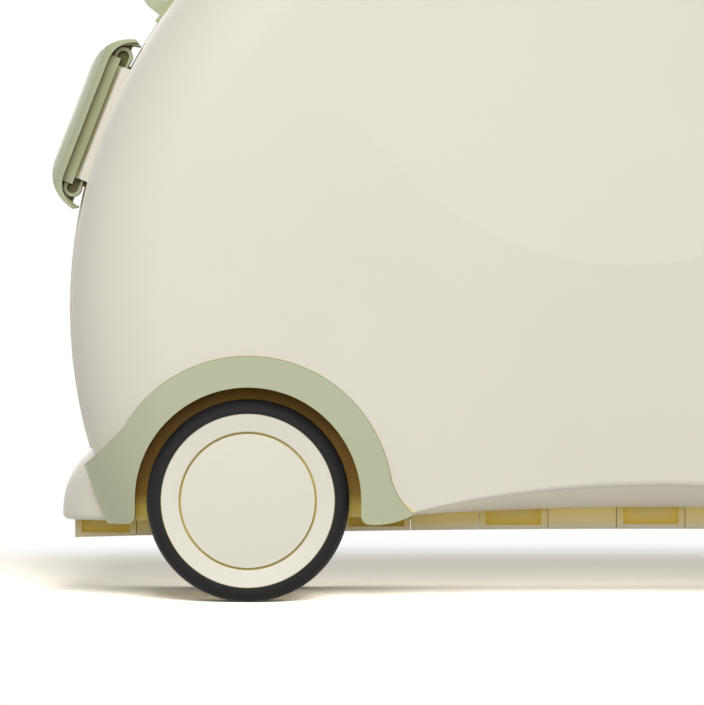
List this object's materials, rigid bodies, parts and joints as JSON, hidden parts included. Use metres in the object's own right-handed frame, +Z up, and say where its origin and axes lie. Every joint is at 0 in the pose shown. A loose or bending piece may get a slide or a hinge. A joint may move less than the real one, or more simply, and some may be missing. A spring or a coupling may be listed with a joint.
{
  "type": "ride on suitcase",
  "caption": "Clamshell ride-on suitcase for a small child: saddle-backed moulded case on wheels, with fenders, bottom hinge, end catches, rider grips and carry handles.",
  "frame": {"origin": "on the floor, below the middle of the case, at the seam", "axes": "+X to the front of the case, +Y to the rider's left, +Z up"},
  "size_m": [0.4858, 0.207, 0.3345],
  "materials": {
    "shell_cream": "satin moulded",
    "trim_sage": "satin moulded",
    "catch_sage": "satin moulded",
    "tyre_black": "matt rubber",
    "rim_white": "smooth moulded",
    "cap_cream": "satin moulded",
    "steel": "zinc plated",
    "seal_rubber": "soft rubber",
    "strap_webbing": "woven webbing",
    "buckle_plastic": "satin moulded"
  },
  "bodies": {
    "right_half": {"right_shell": "shell_cream", "hinge_pin": "steel", "right_fender_screws": "steel", "right_grip": "trim_sage", "right_handle_pins": "steel", "rear_tow_eye": "trim_sage", "front_tow_eye": "trim_sage", "rear_keeper": "shell_cream", "front_keeper": "shell_cream", "rear_right_fender": "trim_sage", "rear_right_axle": "steel", "rear_right_retainer": "steel", "front_right_fender": "trim_sage", "front_right_axle": "steel", "front_right_retainer": "steel"},
    "left_half": {"left_shell": "shell_cream", "seam_seal": "seal_rubber", "left_fender_screws": "steel", "left_grip": "trim_sage", "left_handle_pins": "steel", "rear_catch_pin": "steel", "front_catch_pin": "steel", "packing_strap_rising": "strap_webbing", "packing_strap_falling": "strap_webbing", "strap_buckle": "buckle_plastic", "rear_left_fender": "trim_sage", "rear_left_axle": "steel", "rear_left_retainer": "steel", "front_left_fender": "trim_sage", "front_left_axle": "steel", "front_left_retainer": "steel"},
    "rear_right_wheel": {"rear_right_tyre": "tyre_black", "rear_right_rim": "rim_white", "rear_right_cap": "cap_cream"},
    "rear_left_wheel": {"rear_left_tyre": "tyre_black", "rear_left_rim": "rim_white", "rear_left_cap": "cap_cream"},
    "front_right_wheel": {"front_right_tyre": "tyre_black", "front_right_rim": "rim_white", "front_right_cap": "cap_cream"},
    "front_left_wheel": {"front_left_tyre": "tyre_black", "front_left_rim": "rim_white", "front_left_cap": "cap_cream"},
    "rear_catch": {"rear_catch": "catch_sage"},
    "front_catch": {"front_catch": "catch_sage"},
    "right_handle": {"right_handle": "trim_sage"},
    "left_handle": {"left_handle": "trim_sage"}
  },
  "joints": [
    {"name": "case_open", "type": "hinge", "parent": "right_half", "child": "left_half", "pos_m": [0, 0, 0.033], "axis": [-1, 0, 0], "range_deg": [0, 120]},
    {"name": "rear_right_wheel_spin", "type": "hinge", "parent": "right_half", "child": "rear_right_wheel", "pos_m": [-0.1624, -0.0865, 0.04], "axis": [0, 1, 0], "continuous": true},
    {"name": "rear_left_wheel_spin", "type": "hinge", "parent": "left_half", "child": "rear_left_wheel", "pos_m": [-0.1624, 0.0865, 0.04], "axis": [0, 1, 0], "continuous": true},
    {"name": "front_right_wheel_spin", "type": "hinge", "parent": "right_half", "child": "front_right_wheel", "pos_m": [0.1624, -0.0865, 0.04], "axis": [0, 1, 0], "continuous": true},
    {"name": "front_left_wheel_spin", "type": "hinge", "parent": "left_half", "child": "front_left_wheel", "pos_m": [0.1624, 0.0865, 0.04], "axis": [0, 1, 0], "continuous": true},
    {"name": "rear_catch_swing", "type": "hinge", "parent": "left_half", "child": "rear_catch", "pos_m": [-0.22774, 0.02, 0.19325], "axis": [-0.3614, 0, -0.9324], "range_deg": [0, 110]},
    {"name": "front_catch_swing", "type": "hinge", "parent": "left_half", "child": "front_catch", "pos_m": [0.22774, 0.02, 0.19325], "axis": [-0.3614, 0, 0.9324], "range_deg": [0, 110]},
    {"name": "right_handle_lift", "type": "hinge", "parent": "right_half", "child": "right_handle", "pos_m": [0, -0.014, 0.26688], "axis": [-1, 0, 0], "range_deg": [0, 100]},
    {"name": "left_handle_lift", "type": "hinge", "parent": "left_half", "child": "left_handle", "pos_m": [0, 0.014, 0.26688], "axis": [1, 0, 0], "range_deg": [0, 100]}
  ]
}
